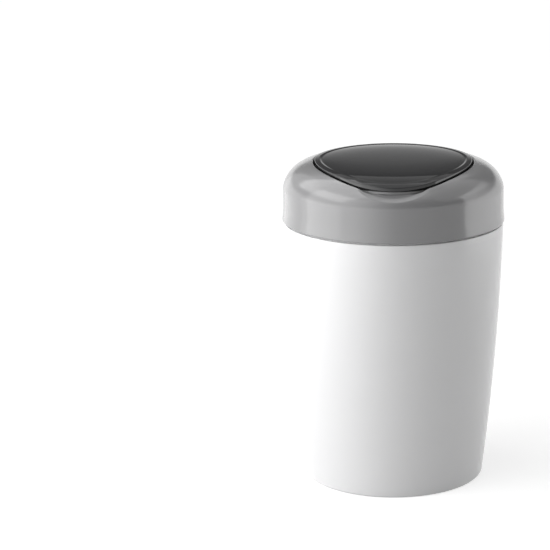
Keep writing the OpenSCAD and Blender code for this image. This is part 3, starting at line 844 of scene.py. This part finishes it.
@dataclass
class Cassette:
    """Holder tray, ring cassette and its film."""

    deck_z: float = 0.3303
    well_floor_z: float = 0.300
    bore_r: float = 0.063
    outer_r: float = 0.0825
    base_z: float = 0.3023
    top_z: float = 0.3503
    wall: float = 0.0012
    pleats: int = 18
    film_t: float = 0.0008
    film_gap: float = 0.0003
    film_skin: float = 0.0003
    drop_z: float = 0.296
    film_drop: float = 0.175
    film_cuff: float = 0.0055
    tie_h: float = 0.03
    gather_r: float = 0.006
    gathers: int = 44
    ribs: int = 12
    rib_t: float = 0.0018

    def build_holder(self) -> None:
        """Makes the dished tray with its locating ring and ribs."""
        well, t, z0, deck = self.outer_r + 0.0008, 0.002, self.well_floor_z, self.deck_z
        ring, flange, top = 0.1237, 0.1265, self.deck_z + 0.002
        hole, ring_z = self.bore_r + 0.003, deck - 0.009
        profile = rounded([
            (hole, z0), (well + t, z0), (well + t, deck), (ring - t, deck), (ring - t, ring_z),
            (ring, ring_z), (ring, deck), (flange, deck), (flange, top), (well, top), (well, z0 + t),
            (hole, z0 + t)], 0.0009)
        shell = Shell("white_holder")
        shell.add_revolved(profile, 288)
        rib = rounded([(well + t - 0.0004, deck - 0.022), (well + t + 0.002, deck - 0.022),
                       (ring - t + 0.0004, deck - 0.008), (ring - t + 0.0004, deck + 0.0004),
                       (well + t - 0.0004, deck + 0.0004)], 0.0004, 2)
        shell.add_plates(rib, self.rib_t, [TURN * (k + 0.5) / self.ribs for k in range(self.ribs)])
        shell.build(Body.HOLDER, HOLDER_WHITE, "cassette_holder")

    def build_cassette(self) -> None:
        """Makes the trough with its rounded lip, and its cap."""
        w, z0, top = self.wall, self.base_z, self.top_z
        rim = top - 0.0023
        trough = Shell("cassette_trough")
        trough.add_revolved(rounded([
            (self.bore_r, z0), (self.outer_r, z0), (self.outer_r, rim), (self.outer_r - w, rim),
            (self.outer_r - w, z0 + w), (self.bore_r + w, z0 + w), (self.bore_r + w, top),
            (self.bore_r, top)], 0.0006), 256)
        trough.build(Body.CASSETTE, CASSETTE_BLUE, "cassette_tub")
        plug, hole, under = self.outer_r - w - 0.0002, self.bore_r + w + 0.0045, top - 0.002
        cap = Shell("cassette_cap")
        cap.add_revolved(rounded([
            (hole, under), (plug - w, under), (plug - w, top - 0.007), (plug, top - 0.007), (plug, under),
            (self.outer_r, under), (self.outer_r, top), (hole, top)], 0.0006), 256)
        cap.build(Body.CASSETTE, CASSETTE_BLUE, "cassette_ring")

    def build_pack(self) -> None:
        """Makes the stowed film: a ring whose sides wave once for each pleat."""
        z0 = self.base_z + self.wall + self.film_gap
        height = (self.top_z - self.base_z) - 0.012
        t = np.linspace(0.0, 1.0, self.pleats * 8 + 1)
        wave = 0.0007 * (1 - np.cos(TURN * self.pleats * t))
        out = np.stack([self.outer_r - self.wall - 0.0005 - wave, z0 + height * t], -1)
        back = np.stack([self.bore_r + self.wall + 0.0005 + wave[::-1], z0 + height * t[::-1]], -1)
        shell = Shell("pleated_film")
        shell.add_revolved(np.vstack([out, back]), 200)
        shell.build(Body.CASSETTE, FILM, "film_pack", crease=80.0)

    def build_sleeve(self) -> None:
        """Makes the drawn film: over the lip, down the bore and gathered in folds towards the knot.

        Formula: r = g + (R - g)(1 - s^3)^0.75 down the drop, times 1 - fold(s) w(a), where w waves n times
        round the film and its height waves five times.
        """
        lip_r = self.wall / 2
        lip_x, lip_z = self.bore_r + lip_r, self.top_z - lip_r
        bend = lip_r + self.film_gap + self.film_t / 2
        mid_r = self.bore_r - self.film_gap - self.film_t / 2
        head_r, head_z = arc(lip_x, lip_z, bend, 0.0, math.pi, 12).T
        s = np.linspace(0.0, 1.0, 90)
        drop_r = self.gather_r + (mid_r - self.gather_r) * (1 - s ** 3) ** 0.75
        drop_z = self.drop_z - self.film_drop * s
        r = np.concatenate([[head_r[0]], head_r, np.full(12, mid_r), drop_r])
        bore_z = np.linspace(lip_z - 0.002, self.drop_z + 0.001, 12)
        z = np.concatenate([[lip_z - self.film_cuff], head_z, bore_z, drop_z])
        fold = np.concatenate([np.zeros(25), 0.05 * ease(s * 1.3)])
        columns = 528
        a = np.arange(columns) * TURN / columns
        wave = 0.5 * (1 + np.cos(self.gathers * a + 1.7 * np.sin(3 * a))) * (0.7 + 0.3 * np.cos(5 * a + 1))
        reach = r[:, None] * (1 - fold[:, None] * wave)
        grid = np.stack([reach * np.cos(a), reach * np.sin(a), z[:, None] + 0 * a], -1)
        shell = Shell("drawn_film")
        shell.add_grid(grid)
        piece = shell.build(Body.CASSETTE, FILM, "film_sleeve", crease=180.0)
        thick = piece.modifiers.new("thickness", "SOLIDIFY")
        thick.thickness = self.film_skin
        thick.offset = 0.0

    def build_knot(self) -> None:
        """Makes the knot: a ball r0 + h sin(pi s)^0.8 and a short flared tail, in nine twisted folds."""
        z0 = self.drop_z - self.film_drop
        s = np.linspace(0.0, 1.0, 60)
        ball = 0.0052 + 0.0046 * np.sin(math.pi * np.clip(s / 0.42, 0, 1)) ** 0.8
        tail = 0.0038 * ease((s - 0.42) / 0.5)
        r = ball - 0.0012 * ease((s - 0.36) / 0.1) + tail
        z = z0 - self.tie_h * s
        columns = 160
        a = np.arange(columns) * TURN / columns
        wave = 1 - 0.1 * (1 + np.cos(9 * a[None, :] + 7 * s[:, None]))
        reach = r[:, None] * wave
        grid = np.stack([reach * np.cos(a), reach * np.sin(a), z[:, None] + 0 * a], -1)
        shell = Shell("film_tie")
        shell.add_grid(grid, cap_first=True, cap_last=True)
        shell.build(Body.CASSETTE, FILM, "film_knot", crease=180.0)

    def build(self) -> None:
        """Makes the holder, the cassette and the film."""
        self.build_holder()
        self.build_cassette()
        self.build_pack()
        self.build_sleeve()
        self.build_knot()


@dataclass
class HingePin:
    """Steel rod behind the lid, with chamfered ends."""

    radius: float = 0.002
    half: float = 0.0318
    y: float = 0.100
    z: float = 0.3725

    def build(self) -> None:
        """Makes the rod: circles of radius r along X, a smaller one at each end."""
        c = 0.0005
        stations = np.array([[-self.half, self.radius - c], [-self.half + c, self.radius],
                             [self.half - c, self.radius], [self.half, self.radius - c]])
        a = np.arange(48) * TURN / 48
        x, r = stations[:, :1], stations[:, 1:]
        grid = np.stack([x + 0 * a, r * np.cos(a), r * np.sin(a)], -1)
        shell = Shell("steel_pin")
        shell.add_grid(grid, cap_first=True, cap_last=True)
        shell.points[0] = shell.points[0] + np.array([0.0, self.y, self.z])
        shell.build(Body.COVER, PIN_STEEL, "hinge_pin")


# ---------------------------------------------------------------- studio


@dataclass(frozen=True)
class SoftBox:
    """Rectangular soft box that faces the bin's axis.

    Azimuth is counted from the camera's side, positive to the right, and centre is its middle's height.
    Level is the radiance of its face, where 1 is white, and tilt turns it down. Where it fades, the level
    eases from full to nothing across its width, in the direction of growing azimuth.
    """

    name: str
    azimuth: float
    distance: float
    centre: float
    size: tuple[float, float]
    level: float
    tilt: float = 0.0
    fades: bool = False

    def _fade(self, lamp: bpy.types.AreaLight) -> None:
        """Makes the level follow the smooth step 1 - (3t^2 - 2t^3) across the face."""
        graph = Graph(lamp)
        point = graph.add("NewGeometry", {}, "Parametric")
        across = graph.add("SeparateXYZ", {"Vector": point}, "X")
        fall = graph.add("MapRange", {"To Min": 1.0, "To Max": 0.0, "Value": across},
                         interpolation_type="SMOOTHSTEP")
        graph.end("Light", graph.add("Emission", {"Strength": fall}))

    def build(self) -> None:
        """Makes the lamp; its watts are pi times area times level."""
        lamp = bpy.data.lights.new(self.name, "AREA")
        lamp.shape = "RECTANGLE"
        lamp.size, lamp.size_y = self.size
        lamp.energy = math.pi * lamp.size * lamp.size_y * self.level
        if self.fades:
            self._fade(lamp)
        box = place(self.name, lamp)
        a = math.radians(self.azimuth)
        box.location = (self.distance * math.sin(a), -self.distance * math.cos(a), self.centre)
        box.rotation_euler = (math.radians(90.0 - self.tilt), 0.0, a)


@dataclass
class Studio:
    """Pale floor, white horizon, soft boxes and the camera."""

    focal_px: float = 2144.7
    image_px: float = 550.0
    centre_px: float = 393.4
    distance: float = 2.456
    height: float = 0.889
    tilt_deg: float = 14.79
    sensor_mm: float = 36.0
    fill: float = 0.01
    back_level: float = 0.12
    floor_tone: float = 0.6
    floor_glow: float = 1.0
    shade_glow: float = 0.6
    shade_from: float = 0.2
    shade_reach: float = 2.0
    horizon_deg: float = 6.5
    ceiling_deg: float = 13.0
    boxes: tuple[SoftBox, ...] = (
        SoftBox("left_box", -78.0, 0.95, 0.22, size=(0.9, 0.42), level=0.7),
        SoftBox("left_tall_box", -71.5, 1.0, 0.65, size=(0.87, 1.2), level=2.0),
        SoftBox("left_rear_box", -122.0, 1.0, 0.65, size=(1.02, 1.2), level=0.45),
        SoftBox("front_box", -20.0, 1.0, 0.62, size=(1.06, 1.2), level=1.9, fades=True),
        SoftBox("right_box", 108.0, 1.0, 0.5, size=(1.3, 0.96), level=1.9, fades=True),
        SoftBox("high_left_box", -90.0, 0.75, 1.2, size=(1.6, 1.1), level=1.8, tilt=52.0),
        SoftBox("high_right_box", 90.0, 0.75, 1.2, size=(1.6, 1.1), level=0.5, tilt=52.0),
        SoftBox("high_back_box", 180.0, 0.6, 1.25, size=(1.0, 0.8), level=0.4, tilt=60.0),
        SoftBox("high_front_box", 0.0, 0.6, 1.3, size=(1.2, 0.8), level=0.5, tilt=62.0),
        SoftBox("top_box", 0.0, 0.0, 1.4, size=(0.8, 0.8), level=0.8, tilt=90.0),
    )

    @staticmethod
    def _seen(graph: Graph) -> bpy.types.NodeSocket:
        """One where a surface is seen by the camera, in a reflection or through glass, and 0 for light."""
        total = graph.add("LightPath", {}, "Is Camera Ray")
        for kind in ("Is Glossy Ray", "Is Transmission Ray"):
            total = graph.add("Math", {0: total, 1: graph.add("LightPath", {}, kind)}, operation="MAXIMUM")
        return total

    def floor(self) -> None:
        """Pale floor that looks white and still holds the bin's shadow."""
        mesh = bpy.data.meshes.new("floor")
        reach = 30.0
        mesh.from_pydata([(-reach, -reach, 0), (reach, -reach, 0), (reach, reach, 0), (-reach, reach, 0)], [],
                         [(0, 1, 2, 3)])
        floor = place("floor", mesh)
        material = bpy.data.materials.new("pale_floor")
        graph = Graph(material)
        matt = graph.add("BsdfDiffuse", {"Color": (*[self.floor_tone] * 3, 1)})
        away = graph.add("VectorMath", {0: graph.add("TexCoord", {}, "Object")}, "Value", operation="LENGTH")
        strength = graph.add("MapRange", {
            "From Min": self.shade_from, "From Max": self.shade_reach, "To Min": self.shade_glow,
            "To Max": self.floor_glow, "Value": away}, interpolation_type="SMOOTHSTEP")
        both = graph.add("AddShader", {0: matt, 1: graph.add("Emission", {"Strength": strength})})
        graph.end("Material", graph.add("MixShader", {0: self._seen(graph), 1: matt, 2: both}))
        mesh.materials.append(material)

    def world(self) -> None:
        """World: an even fill for light, and for the eye a white horizon that greys towards the ceiling."""
        world = bpy.data.worlds.new("studio")
        bpy.context.scene.world = world
        graph = Graph(world)
        white = (1, 1, 1, 1)
        fill = graph.add("Background", {"Color": white, "Strength": self.fill})
        rise = graph.add("SeparateXYZ", {"Vector": graph.add("TexCoord", {}, "Generated")}, "Z")
        level = graph.add("MapRange", {
            "From Min": math.sin(math.radians(self.horizon_deg)),
            "From Max": math.sin(math.radians(self.ceiling_deg)), "To Min": 1.0, "To Max": self.back_level,
            "Value": rise}, interpolation_type="SMOOTHSTEP")
        seen = graph.add("Background", {"Color": white, "Strength": level})
        graph.end("World", graph.add("MixShader", {0: self._seen(graph), 1: fill, 2: seen}))

    def camera(self) -> None:
        """Camera at the photograph's place: 14.8 degrees down, the bin right of the middle."""
        camera = bpy.data.cameras.new("camera")
        camera.sensor_width = self.sensor_mm
        camera.lens = self.focal_px / self.image_px * self.sensor_mm
        camera.shift_x = (self.image_px / 2 - self.centre_px) / self.image_px
        camera.clip_end = 60.0
        stand = place("camera", camera)
        stand.location = (0.0, -self.distance, self.height)
        stand.rotation_euler = (math.radians(90.0 - self.tilt_deg), 0.0, 0.0)
        bpy.context.scene.camera = stand

    def build(self) -> None:
        """Sets up the camera, the floor, the world and the soft boxes."""
        self.camera()
        self.floor()
        self.world()
        for box in self.boxes:
            box.build()
        bpy.context.scene.view_settings.view_transform = "Standard"


def main() -> None:
    """Builds the studio and then the bin, from the tub up."""
    logging.basicConfig(level=logging.INFO, format="%(name)s %(message)s")
    Studio().build()
    Tub().build()
    Cassette().build()
    Cover().build()
    Funnel().build()
    HingePin().build()
    Lid().build()


if __name__ == "__main__":
    main()
